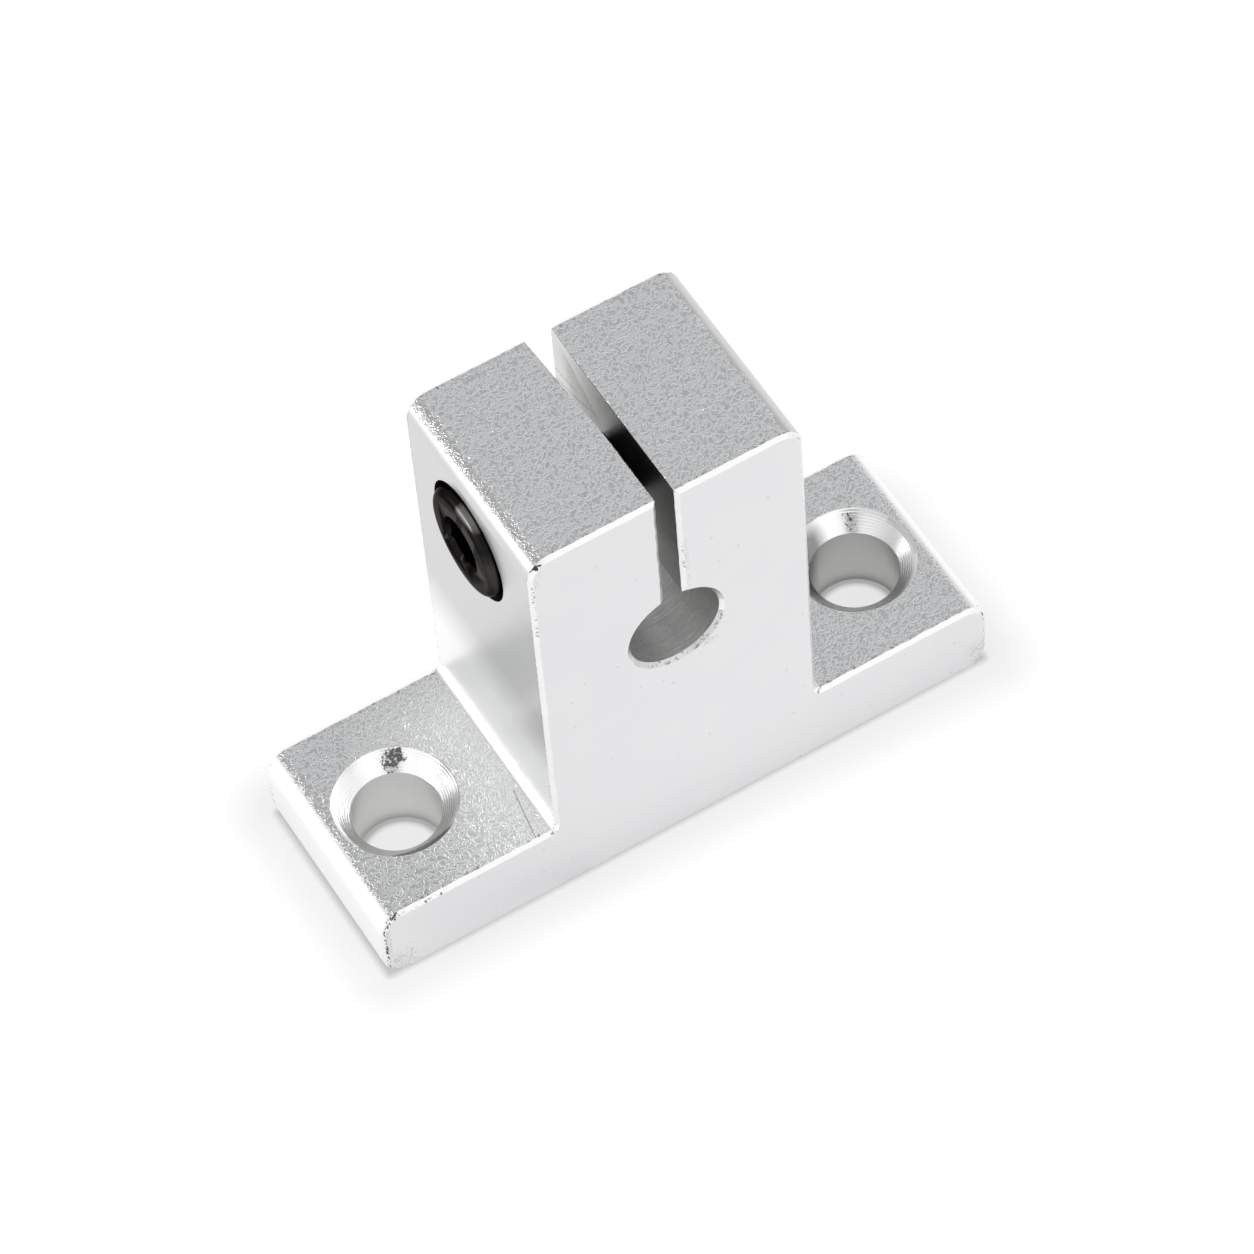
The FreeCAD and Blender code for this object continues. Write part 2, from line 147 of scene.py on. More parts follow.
# Painted light on the left foot beside the tower's left face.
FOOT_PAINTED_LIGHT = [((-9.5, -2.0, 6.0), (2.5, 5.0, 0.3), 5.0, 0.9)]
# Painted highlight on the top of the screw head's rim, and a faint painted sheen on the front of the head.
RIM_PAINTED_HIGHLIGHT = [((-9.4, -0.5, 30.3), (0.3, 0.8, 0.15), 0.45, 1.0),
            ((-9.5, -2.9, 27.0), (0.3, 0.5, 1.0), 0.9, 0.16)]

# Scratches, in mm, each from one end to the other
SLIT_SCRATCHES = [((0.625, 6.9, 29.1), (0.625, 4.3, 29.55)), ((0.625, 6.9, 28.1), (0.625, 4.6, 28.75)),
                  ((0.625, 4.6, 28.75), (0.625, 2.4, 29.7))]
SKIN_SCRATCHES = [((-9.7, -3.1, 6), (-10.3, -6.75, 6)), ((-9.3, -6.7, 6.1), (-9.25, -6.95, 6.1))]


# Nodes and colours

def linear(hex_colour):
    """An sRGB hex colour, such as "E9E9EA", as linear red, green, blue and alpha."""
    parts = [int(hex_colour[i:i + 2], 16) / 255 for i in (0, 2, 4)]
    return [p / 12.92 if p <= 0.04045 else ((p + 0.055) / 1.055) ** 2.4 for p in parts] + [1.0]


def add(tree, kind, inputs=None, **settings):
    """Add a node. Each input, by name or number, gets a value or the output that it is linked to."""
    node = tree.nodes.new(kind)
    for name, value in settings.items():
        setattr(node, name, value)
    for name, value in (inputs or {}).items():
        if isinstance(value, bpy.types.NodeSocket):
            tree.links.new(value, node.inputs[name])
        else:
            node.inputs[name].default_value = value
    return node


def per_metre(millimetres):
    """The scale of a pattern whose features are that far apart."""
    return 1 / (millimetres * MM)


def rings_every(millimetres):
    """The scale of a Wave Texture whose rings are that far apart."""
    return math.pi / 10 / (millimetres * MM)


def connect(tree, shader, sources):
    """Link outputs to a shader's inputs, by name."""
    for name, output in sources.items():
        tree.links.new(output, shader.inputs[name])


def largest(tree, values):
    """The largest of several outputs."""
    top = values[0]
    for value in values[1:]:
        top = add(tree, "ShaderNodeMath", {0: top, 1: value}, operation="MAXIMUM").outputs[0]
    return top


def new_material(name, **shader_values):
    """A material with a Principled shader whose plain values are set by name."""
    material = bpy.data.materials.new(name)
    material.use_nodes = True
    tree = material.node_tree
    shader = tree.nodes["Principled BSDF"]
    for socket, value in shader_values.items():
        shader.inputs[socket.replace("_", " ")].default_value = value
    place = add(tree, "ShaderNodeTexCoord").outputs["Object"]
    return material, tree, shader, place


# Finishes of the block

def near_marks(tree, place, marks):
    """How near a place is to the given marks: the marks' density inside them, fading to 0 outside."""
    nearness = []
    for middle, half, reach, density in marks:
        away = add(tree, "ShaderNodeVectorMath", {0: place, 1: Vector(middle) * MM}, operation="SUBTRACT")
        away = add(tree, "ShaderNodeVectorMath", {0: away.outputs[0]}, operation="ABSOLUTE")
        away = add(tree, "ShaderNodeVectorMath", {0: away.outputs[0], 1: Vector(half) * MM},
                   operation="SUBTRACT")
        away = add(tree, "ShaderNodeVectorMath", {0: away.outputs[0], 1: (0, 0, 0)}, operation="MAXIMUM")
        away = add(tree, "ShaderNodeVectorMath", {0: away.outputs[0]}, operation="LENGTH")
        near = add(tree, "ShaderNodeMapRange", {"Value": away.outputs["Value"], "From Min": reach * MM,
                                               "From Max": 0.0, "To Max": density})
        nearness.append(near.outputs[0])
    return largest(tree, nearness)


def torn_specks(tree, place, marks, speck_size):
    """How much a place is torn, 0 to 1: specks of a size in mm, round the given marks."""
    near = near_marks(tree, place, marks)
    specks = add(tree, "ShaderNodeTexNoise", {"Vector": place, "Scale": per_metre(speck_size * 2),
                                             "Detail": 2.0, "Roughness": 0.6})
    level = add(tree, "ShaderNodeMath", {0: near, 1: specks.outputs["Fac"]}, operation="ADD")
    sharp = add(tree, "ShaderNodeMapRange", {"Value": level.outputs[0], "From Min": 0.66, "From Max": 0.74})
    inside = add(tree, "ShaderNodeMapRange", {"Value": near, "From Max": 0.08})
    return add(tree, "ShaderNodeMath", {0: sharp.outputs[0], 1: inside.outputs[0]},
               operation="MULTIPLY").outputs[0]


def scratched(tree, place, scratches, width):
    """How much a place is scratched, 0 to 1, by straight scratches of a width in mm."""
    depths = []
    for start, end in scratches:
        start, end = Vector(start) * MM, Vector(end) * MM
        run = end - start
        rest = add(tree, "ShaderNodeVectorMath", {0: place, 1: start}, operation="SUBTRACT").outputs[0]
        share = add(tree, "ShaderNodeVectorMath", {0: rest, 1: run / run.length_squared},
                    operation="DOT_PRODUCT")
        share = add(tree, "ShaderNodeMapRange", {"Value": share.outputs["Value"]})
        nearest = add(tree, "ShaderNodeVectorMath", {0: run, "Scale": share.outputs[0]}, operation="SCALE")
        away = add(tree, "ShaderNodeVectorMath", {0: rest, 1: nearest.outputs[0]}, operation="DISTANCE")
        depth = add(tree, "ShaderNodeMapRange", {"Value": away.outputs["Value"], "From Min": width / 2 * MM,
                                                "From Max": 0.0})
        depths.append(depth.outputs[0])
    return largest(tree, depths)


def from_saw_cut(tree, place, near, far):
    """0 to 1 as a place gets nearer to a saw cut, between two distances from the middle in mm."""
    axes = add(tree, "ShaderNodeSeparateXYZ", {0: place})
    off = add(tree, "ShaderNodeMath", {0: axes.outputs["Y"]}, operation="ABSOLUTE")
    return add(tree, "ShaderNodeMapRange", {"Value": off.outputs[0], "From Min": near * MM,
                                            "From Max": far * MM}).outputs[0]


def grain_edge(tree, axes):
    """How far a place on the skin has dropped from the flat top that it belongs to, and how far the grain of
    the blasting reaches there: a little way down the rounded edges, most on the tower's left one."""
    height = axes.outputs["Z"]
    under_top = add(tree, "ShaderNodeMath", {0: TOP, 1: height}, operation="SUBTRACT")
    under_foot = add(tree, "ShaderNodeMath", {0: FOOT, 1: height}, operation="SUBTRACT")
    over_foot = add(tree, "ShaderNodeMath", {0: under_foot.outputs[0], 1: -8.0}, operation="MULTIPLY")
    off_foot = add(tree, "ShaderNodeMath", {0: under_foot.outputs[0], 1: over_foot.outputs[0]},
                   operation="MAXIMUM")
    drop = add(tree, "ShaderNodeMath", {0: off_foot.outputs[0], 1: under_top.outputs[0]},
               operation="MINIMUM")
    on_tower = add(tree, "ShaderNodeMath", {0: height, 1: (FOOT + TOP) / 2}, operation="GREATER_THAN")
    slant = add(tree, "ShaderNodeMath", {0: axes.outputs["Y"], 1: 0.022, 2: 0.43 * MM},
                operation="MULTIPLY_ADD")
    left_reach = add(tree, "ShaderNodeMix", {0: on_tower.outputs[0], 2: 0.19 * MM, 3: slant.outputs[0]})
    reach = add(tree, "ShaderNodeMapRange", {"Value": axes.outputs["X"], "From Min": -1 * MM,
                                            "From Max": 1 * MM, "To Min": left_reach.outputs[0],
                                            "To Max": 0.1 * MM})
    return drop.outputs[0], reach.outputs[0]


def grained_tone(tree, place, axes, drop, worms):
    """Grey of the grain: lighter on its crests, with painted light on the left foot beside the tower and painted
    shade over the left edges.
    """
    crest = add(tree, "ShaderNodeMapRange", {"Value": worms, "From Min": -1.0, "From Max": 1.0})
    tone = add(tree, "ShaderNodeMix", {0: crest.outputs[0], 6: linear("CFD0D2"), 7: linear("EEEFF0")},
               data_type="RGBA")
    # Painted shade: darker over the rounded edges on the left.
    over_edge = add(tree, "ShaderNodeMapRange", {"Value": drop, "From Min": 0.01 * MM,
                                                "From Max": 0.16 * MM})
    on_left = add(tree, "ShaderNodeMath", {0: axes.outputs["X"], 1: -8 * MM}, operation="LESS_THAN")
    over_edge = add(tree, "ShaderNodeMath", {0: over_edge.outputs[0], 1: on_left.outputs[0]},
                    operation="MULTIPLY")
    tone = add(tree, "ShaderNodeMix", {0: over_edge.outputs[0], 6: tone.outputs[2], 7: linear("C6C6C5")},
               data_type="RGBA")
    # Painted light on the left foot beside the tower's left face.
    painted_light = near_marks(tree, place, FOOT_PAINTED_LIGHT)
    return add(tree, "ShaderNodeMix", {0: painted_light, 6: tone.outputs[2], 7: linear("FBFCFC")},
               data_type="RGBA").outputs[2]


def sides_tone_with_painted_light(tree, place, height):
    """Grey of the sides, smoothed by rubbing, with painted light that makes them lighter toward the feet."""
    clouds = add(tree, "ShaderNodeTexNoise", {"Vector": place, "Scale": per_metre(3.0), "Detail": 3.0})
    tone = add(tree, "ShaderNodeMix", {0: clouds.outputs["Fac"], 6: linear("CFD0CF"), 7: linear("D4D5D4")},
               data_type="RGBA")
    # Painted light: the sides lighten toward the feet.
    low = add(tree, "ShaderNodeMapRange", {"Value": height, "From Min": 17 * MM, "From Max": 12 * MM})
    return add(tree, "ShaderNodeMix", {0: low.outputs[0], 6: tone.outputs[2], 7: linear("FCFCFC")},
               data_type="RGBA").outputs[2]


def skin_marks(tree, place, grit):
    """How much the skin is marked, 0 to 1, by burr crumbs beside the saw cuts and by scratches."""
    beside_cut = from_saw_cut(tree, place, 6.45, 6.7)
    crumbs = add(tree, "ShaderNodeMapRange", {"Value": grit, "From Min": 0.58, "From Max": 0.68})
    burr = add(tree, "ShaderNodeMath", {0: beside_cut, 1: crumbs.outputs[0]}, operation="MULTIPLY")
    return largest(tree, [burr.outputs[0], scratched(tree, place, SKIN_SCRATCHES, 0.1)])


def blasted_aluminium():
    """Clear anodised extrusion, bead blasted: the tops are a grey satin wrinkled by short, worm-like
    ridges a fifth of a millimetre apart, which reach a little way over the rounded edges. The sides are
    nearly smooth from rubbing. Painted light lightens the sides toward the feet and the left foot beside the
    tower, and painted shade darkens the left rounded edges."""
    material, tree, shader, place = new_material("blasted_anodised_aluminium", Metallic=1.0)
    axes = add(tree, "ShaderNodeSeparateXYZ", {0: place})
    grit = add(tree, "ShaderNodeTexNoise", {"Vector": place, "Scale": per_metre(0.22), "Detail": 1.0})
    grit = grit.outputs["Fac"]
    drop, reach = grain_edge(tree, axes)
    past_edge = add(tree, "ShaderNodeMath", {0: drop, 1: reach}, operation="SUBTRACT")
    ragged = add(tree, "ShaderNodeMath", {0: grit, 1: 0.5}, operation="SUBTRACT")
    ragged = add(tree, "ShaderNodeMath", {0: ragged.outputs[0], 1: 0.35 * MM, 2: past_edge.outputs[0]},
                 operation="MULTIPLY_ADD")
    grained = add(tree, "ShaderNodeMapRange", {"Value": ragged.outputs[0], "From Min": -0.01 * MM,
                                              "From Max": 0.01 * MM, "To Min": 1.0, "To Max": 0.0})
    bends = add(tree, "ShaderNodeTexNoise", {"Vector": place, "Scale": per_metre(0.4), "Detail": 2.0,
                                            "Roughness": 0.5, "Distortion": 0.3})
    turn = add(tree, "ShaderNodeMath", {0: bends.outputs["Fac"], 1: WORM_TURNS}, operation="MULTIPLY")
    worms = add(tree, "ShaderNodeMath", {0: turn.outputs[0]}, operation="SINE")
    wrinkle = add(tree, "ShaderNodeMath", {0: grit, 1: 1.6, 2: worms.outputs[0]},
                  operation="MULTIPLY_ADD")
    wrinkle = add(tree, "ShaderNodeMath", {0: wrinkle.outputs[0], 1: grained.outputs[0]},
                  operation="MULTIPLY")
    relief = add(tree, "ShaderNodeMath", {0: grit, 1: 0.12, 2: wrinkle.outputs[0]},
                 operation="MULTIPLY_ADD")
    sides = sides_tone_with_painted_light(tree, place, axes.outputs["Z"])
    tops = grained_tone(tree, place, axes, drop, worms.outputs[0])
    tone = add(tree, "ShaderNodeMix", {0: grained.outputs[0], 6: sides, 7: tops}, data_type="RGBA")
    tone = add(tree, "ShaderNodeMix", {0: skin_marks(tree, place, grit), 6: tone.outputs[2],
                                       7: linear("9A9A98")}, data_type="RGBA")
    rough = add(tree, "ShaderNodeMapRange", {"Value": grained.outputs[0], "To Min": 0.32, "To Max": 0.27})
    bump = add(tree, "ShaderNodeBump", {"Height": relief.outputs[0], "Strength": 1.0,
                                       "Distance": 0.012 * MM})
    connect(tree, shader, {"Base Color": tone.outputs[2], "Roughness": rough.outputs[0],
                           "Normal": bump.outputs[0]})
    return material


def sawn_end():
    """Saw cut of the slice, tumbled smooth and anodised: an even, near white satin with a few
    fine pits."""
    material, tree, shader, place = new_material("sawn_tumbled_end", Metallic=1.0, Roughness=0.5)
    pits = add(tree, "ShaderNodeTexVoronoi", {"Vector": place, "Scale": per_metre(1.1)})
    pit = add(tree, "ShaderNodeMapRange", {"Value": pits.outputs["Distance"], "From Min": 0.04,
                                           "From Max": 0.08, "To Min": 1.0, "To Max": 0.0},
              interpolation_type="SMOOTHSTEP")
    some = add(tree, "ShaderNodeMath", {0: pits.outputs["Color"], 1: 0.55}, operation="GREATER_THAN")
    pit = add(tree, "ShaderNodeMath", {0: pit.outputs[0], 1: some.outputs[0]}, operation="MULTIPLY")
    clouds = add(tree, "ShaderNodeTexNoise", {"Vector": place, "Scale": per_metre(5.0), "Detail": 2.0})
    tone = add(tree, "ShaderNodeMix", {0: clouds.outputs["Fac"], 6: linear("E9E9EB"), 7: linear("EDEDEE")},
               data_type="RGBA")
    torn = torn_specks(tree, place, SAWN_MARKS, 0.06)
    hollow = largest(tree, [pit.outputs[0], torn])
    tone = add(tree, "ShaderNodeMix", {0: hollow, 6: tone.outputs[2], 7: linear("CFCFCE")},
               data_type="RGBA")
    bump = add(tree, "ShaderNodeBump", {"Height": hollow, "Strength": 0.3, "Distance": 0.01 * MM})
    connect(tree, shader, {"Base Color": tone.outputs[2], "Normal": bump.outputs[0]})
    return material


def deburred_edge():
    """Edge broken by hand with a file: bright metal, uneven from one stroke to the next, with dark
    torn burrs where the file skipped."""
    material, tree, shader, place = new_material("deburred_edge", Metallic=1.0)
    strokes = add(tree, "ShaderNodeTexNoise", {"Vector": place, "Scale": per_metre(0.35), "Detail": 3.0})
    tone = add(tree, "ShaderNodeMix", {0: strokes.outputs["Fac"], 6: linear("EEEEEE"), 7: linear("FBFBFB")},
               data_type="RGBA")
    torn = torn_specks(tree, place, EDGE_MARKS, 0.1)
    line = from_saw_cut(tree, place, 6.86, 6.92)
    line = add(tree, "ShaderNodeMath", {0: torn, 1: line}, operation="MULTIPLY")
    chatter = torn_specks(tree, place, CHATTER_MARKS, 0.11)
    dark = largest(tree, [line.outputs[0], chatter])
    tone = add(tree, "ShaderNodeMix", {0: dark, 6: tone.outputs[2], 7: linear("4A4748")},
               data_type="RGBA")
    rough = add(tree, "ShaderNodeMapRange", {"Value": strokes.outputs["Fac"], "To Min": 0.3,
                                            "To Max": 0.5})
    height = add(tree, "ShaderNodeMath", {0: strokes.outputs["Fac"], 1: dark},
                 operation="SUBTRACT")
    bump = add(tree, "ShaderNodeBump", {"Height": height.outputs[0], "Strength": 0.5,
                                       "Distance": 0.022 * MM})
    connect(tree, shader, {"Base Color": tone.outputs[2], "Roughness": rough.outputs[0],
                           "Normal": bump.outputs[0]})
    return material


def turned_cone():
    """Countersink turned with a sharp tool: bright, with rings round the hole and a torn patch where
    the tool chattered. Painted shade darkens it where the tower and the rim shade it."""
    material, tree, shader, place = new_material("turned_countersink", Metallic=1.0)
    rings = add(tree, "ShaderNodeTexWave", {"Vector": place, "Scale": rings_every(0.14),
                                            "Distortion": 0.6, "Detail": 1.0}, bands_direction="Z")
    ripple = add(tree, "ShaderNodeTexNoise", {"Vector": place, "Scale": per_metre(0.3), "Detail": 2.0})
    torn = torn_specks(tree, place, CONE_MARKS, 0.1)
    # Painted shade: darker where the tower and the hole's own rim shade the cone.
    painted_shade_mask = near_marks(tree, place, CONE_PAINTED_SHADE)
    tone = add(tree, "ShaderNodeMix", {0: painted_shade_mask, 6: linear("F4F4F4"), 7: linear("8E8E8D")},
               data_type="RGBA")
    tone = add(tree, "ShaderNodeMix", {0: torn, 6: tone.outputs[2], 7: linear("6A6867")},
               data_type="RGBA")
    height = add(tree, "ShaderNodeMath", {0: ripple.outputs["Fac"], 1: 1.0, 2: rings.outputs["Fac"]},
                 operation="MULTIPLY_ADD")
    rough = add(tree, "ShaderNodeMapRange", {"Value": torn, "To Min": 0.26, "To Max": 0.5})
    bump = add(tree, "ShaderNodeBump", {"Height": height.outputs[0], "Strength": 0.6,
                                       "Distance": 0.008 * MM})
    connect(tree, shader, {"Base Color": tone.outputs[2], "Roughness": rough.outputs[0],
                           "Normal": bump.outputs[0]})
    return material


def drilled_wall():
    """Wall left by a twist drill, anodised: a soft grey that scatters light, with faint rings and, in the
    right hole, painted shade where the tower shades it."""
    material, tree, shader, place = new_material("drilled_wall", Metallic=0.85, Roughness=0.4)
    rings = add(tree, "ShaderNodeTexWave", {"Vector": place, "Scale": rings_every(0.2),
                                            "Distortion": 1.5, "Detail": 2.0}, bands_direction="Z")
    tone = add(tree, "ShaderNodeMix", {0: rings.outputs["Fac"], 6: linear("DADBD8"), 7: linear("E6E6E4")},
               data_type="RGBA")
    # Painted shade in the right hole, where the tower shades its wall.
    painted_shade_mask = near_marks(tree, place, HOLE_PAINTED_SHADE)
    tone = add(tree, "ShaderNodeMix", {0: painted_shade_mask, 6: tone.outputs[2], 7: linear("8A8A89")},
               data_type="RGBA")
    bump = add(tree, "ShaderNodeBump", {"Height": rings.outputs["Fac"], "Strength": 0.4,
                                       "Distance": 0.005 * MM})
    connect(tree, shader, {"Base Color": tone.outputs[2], "Normal": bump.outputs[0]})
    return material


def counterbored_wall():
    """Wall of the counterbore, with painted shade: dark where the screw's head shades it."""
    material, tree, shader, place = new_material("counterbore_dark_with_painted_shade", Metallic=1.0, Roughness=0.45)
    rings = add(tree, "ShaderNodeTexWave", {"Vector": place, "Scale": rings_every(0.15), "Distortion": 1.0},
                bands_direction="X")
    tone = add(tree, "ShaderNodeMix", {0: rings.outputs["Fac"], 6: linear("343231"), 7: linear("454342")},
               data_type="RGBA")
    bump = add(tree, "ShaderNodeBump", {"Height": rings.outputs["Fac"], "Strength": 0.4,
                                       "Distance": 0.005 * MM})
    connect(tree, shader, {"Base Color": tone.outputs[2], "Normal": bump.outputs[0]})
    return material


def reamed_bore():
    """Bore for the shaft, reamed: rings round the axis, broken into short bright and dark streaks, with painted
    shade darker toward its right.
    """
    material, tree, shader, place = new_material("reamed_bore", Metallic=0.85)
    along = add(tree, "ShaderNodeMapping", {"Vector": place, "Scale": (per_metre(1.8), per_metre(0.1),
                                                                     per_metre(1.8))})
    streaks = add(tree, "ShaderNodeTexNoise", {"Vector": along.outputs[0], "Scale": 1.0, "Detail": 3.0,
                                              "Roughness": 0.65})
    contrast = add(tree, "ShaderNodeMapRange", {"Value": streaks.outputs["Fac"], "From Min": 0.34,
                                               "From Max": 0.66})
    axes = add(tree, "ShaderNodeSeparateXYZ", {0: place})
    # Painted shade: the bore darkens toward its right side.
    shade = add(tree, "ShaderNodeMapRange", {"Value": axes.outputs["X"], "From Min": -0.5 * MM,
                                            "From Max": 2.5 * MM, "To Max": 0.7})
    shade = add(tree, "ShaderNodeMath", {0: contrast.outputs[0], 1: shade.outputs[0]}, operation="SUBTRACT",
                use_clamp=True)
    tone = add(tree, "ShaderNodeMix", {0: shade.outputs[0], 6: linear("D8D8D7"), 7: linear("FFFFFF")},
               data_type="RGBA")
    rough = add(tree, "ShaderNodeMapRange", {"Value": contrast.outputs[0], "To Min": 0.4, "To Max": 0.22})
    bump = add(tree, "ShaderNodeBump", {"Height": streaks.outputs["Fac"], "Strength": 0.8,
                                       "Distance": 0.025 * MM})
    connect(tree, shader, {"Base Color": tone.outputs[2], "Roughness": rough.outputs[0],
                           "Normal": bump.outputs[0]})
    return material


def saw_slit():
    """Walls of the slit, cut with a slitting saw: smooth, with painted light that makes them lighter toward
    the open back and greyer toward the front, with slanting saw lines and, near the back, dark scratches."""
    material, tree, shader, place = new_material("slitting_saw_wall", Metallic=1.0, Roughness=0.28)
    lines = add(tree, "ShaderNodeMapping", {"Vector": place, "Rotation": (math.radians(35), 0, 0),
                                            "Scale": (per_metre(3), per_metre(2.5), per_metre(0.16))})
    saw = add(tree, "ShaderNodeTexNoise", {"Vector": lines.outputs[0], "Scale": 1.0, "Detail": 2.0})
    axes = add(tree, "ShaderNodeSeparateXYZ", {0: place})
    # Painted light: the walls lighten toward the open back, where light comes in.
    back = add(tree, "ShaderNodeMapRange", {"Value": axes.outputs["Y"], "From Min": -1 * MM,
                                           "From Max": 5.5 * MM}, interpolation_type="SMOOTHSTEP")
    shade = add(tree, "ShaderNodeMath", {0: saw.outputs["Fac"], 1: 0.35, 2: back.outputs[0]},
                operation="MULTIPLY_ADD")
    tone = add(tree, "ShaderNodeMix", {0: shade.outputs[0], 6: linear("A6A6A5"), 7: linear("D6D6D5")},
               data_type="RGBA")
    marked = scratched(tree, place, SLIT_SCRATCHES, 0.11)
    tone = add(tree, "ShaderNodeMix", {0: marked, 6: tone.outputs[2], 7: linear("4E4D4C")},
               data_type="RGBA")
    height = add(tree, "ShaderNodeMath", {0: saw.outputs["Fac"], 1: marked}, operation="SUBTRACT")
    bump = add(tree, "ShaderNodeBump", {"Height": height.outputs[0], "Strength": 0.3,
                                       "Distance": 0.01 * MM})
    connect(tree, shader, {"Base Color": tone.outputs[2], "Normal": bump.outputs[0]})
    return material


# Finishes of the screw

def black_oxide():
    """Black oxide on alloy steel, lightly oiled: near black satin with a soft, faint mottle, and a grey
    painted highlight on the head's rim."""
    material, tree, shader, place = new_material("black_oxide_steel", Metallic=1.0,
                                                 Specular_Tint=linear("B1AFAF"))
    mottle = add(tree, "ShaderNodeTexNoise", {"Vector": place, "Scale": per_metre(0.8), "Detail": 3.0})
    tone = add(tree, "ShaderNodeMix", {0: mottle.outputs["Fac"], 6: linear("1B1A19"), 7: linear("262423")},
               data_type="RGBA")
    # Painted highlight on the rim and a faint painted sheen on the head's front.
    painted_light = near_marks(tree, place, RIM_PAINTED_HIGHLIGHT)
    tone = add(tree, "ShaderNodeMix", {0: painted_light, 6: tone.outputs[2], 7: linear("7C7A78")},
               data_type="RGBA")
    rough = add(tree, "ShaderNodeMapRange", {"Value": mottle.outputs["Fac"], "To Min": 0.26,
                                            "To Max": 0.36})
    bump = add(tree, "ShaderNodeBump", {"Height": mottle.outputs["Fac"], "Strength": 0.1,
                                       "Distance": 0.02 * MM})
    connect(tree, shader, {"Base Color": tone.outputs[2], "Roughness": rough.outputs[0],
                           "Normal": bump.outputs[0]})
    return material


def black_socket_and_painted_shade():
    """Broached and blackened socket: dull, almost without reflection; its near black is painted shade, and it is
    also put on the upper side of the socket's mouth.
    """
    material, tree, shader, place = new_material("black_socket_painted_shade", Roughness=0.8,
                                                 Specular_IOR_Level=0.01)
    streaks = add(tree, "ShaderNodeMapping", {"Vector": place, "Scale": (per_metre(2.0), per_metre(0.1),
                                                                       per_metre(0.1))})
    broach = add(tree, "ShaderNodeTexNoise", {"Vector": streaks.outputs[0], "Scale": 1.0})
    tone = add(tree, "ShaderNodeMix", {0: broach.outputs["Fac"], 6: linear("010101"), 7: linear("030202")},
               data_type="RGBA")
    bump = add(tree, "ShaderNodeBump", {"Height": broach.outputs["Fac"], "Strength": 0.2,
                                       "Distance": 0.01 * MM})
    connect(tree, shader, {"Base Color": tone.outputs[2], "Normal": bump.outputs[0]})
    return material


# Mesh helpers

def finish_piece(name, mesh, materials, body, node):
    """Put a bmesh into the scene as a piece that stands for a CAD node and rides on a body."""
    data = bpy.data.meshes.new(name)
    mesh.to_mesh(data)
    mesh.free()
    for material in materials:
        data.materials.append(material)
    data.shade_smooth()
    data.set_sharp_from_angle(angle=SMOOTH_ANGLE)
    piece = bpy.data.objects.new(name, data)
    bpy.context.scene.collection.objects.link(piece)
    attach(piece, body)
    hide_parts(node)
    return piece


def merged_copy(node):
    """A CAD node's solid with its triangles joined and the flat ones made one face."""
    solid = bmesh.new()
    solid.from_mesh(frame["nodes"][node].data)
    bmesh.ops.remove_doubles(solid, verts=solid.verts, dist=TINY)
    bmesh.ops.dissolve_limit(solid, angle_limit=JOIN_ANGLE, verts=solid.verts, edges=solid.edges)
    return solid


def with_edges(faces):
    """Faces with their edges and corners, as the operators that cut want them."""
    return faces + list({e for f in faces for e in f.edges}) + list({v for f in faces for v in f.verts})


def from_axis(point):
    """How far a point is from the screw's axis."""
    return math.hypot(point.y - SCREW_AXIS.y, point.z - SCREW_AXIS.z)


def set_radius(vert, radius):
    """Move a point straight in or out to a distance from the screw's axis."""
    grow = radius / from_axis(vert.co)
    vert.co.y = SCREW_AXIS.y + (vert.co.y - SCREW_AXIS.y) * grow
    vert.co.z = SCREW_AXIS.z + (vert.co.z - SCREW_AXIS.z) * grow


def wind_thread(mesh, start, end, plain_radius, depth, radius_at):
    """Wind a thread round the screw's axis and cut it off square at both ends.

    The outline of one pitch, which goes in from the plain radius by the depth, is swept along its helix.
    radius_at(x, radius) gives the radius that a point ends at. Returns the two loops of open edges.
    """
    turns = math.ceil((end - start) / PITCH) + 2
    crest = SCREW_AXIS.z + plain_radius
    verts = [mesh.verts.new((start - PITCH + along * MM, SCREW_AXIS.y, crest - share * depth))
             for along, share in THREAD_OUTLINE]
    edges = [mesh.edges.new(pair) for pair in zip(verts, verts[1:])]
    old = set(mesh.faces)
    bmesh.ops.spin(mesh, geom=verts + edges, cent=SCREW_AXIS, axis=(1, 0, 0), angle=2 * math.pi * turns,
                   steps=THREAD_STEPS * turns, dvec=(PITCH / THREAD_STEPS, 0, 0))
    faces = [f for f in mesh.faces if f not in old]
    verts = list({v for f in faces for v in f.verts})
    bmesh.ops.remove_doubles(mesh, verts=verts, dist=TINY)
    verts = [v for v in verts if v.is_valid]
    for vert in verts:
        set_radius(vert, radius_at(vert.co.x, from_axis(vert.co)))
    for x, side in ((start, -1), (end, 1)):
        bmesh.ops.bisect_plane(mesh, geom=with_edges([f for f in mesh.faces if f not in old]),
                               dist=TINY / 10, plane_co=(x, 0, 0), plane_no=(side, 0, 0), clear_outer=True)
    open_edges = [e for e in mesh.edges if e.is_boundary and e.link_faces[0] not in old]
    return [[e for e in open_edges if all(abs(v.co.x - x) < TINY for v in e.verts)] for x in (start, end)]


# Clamp screw

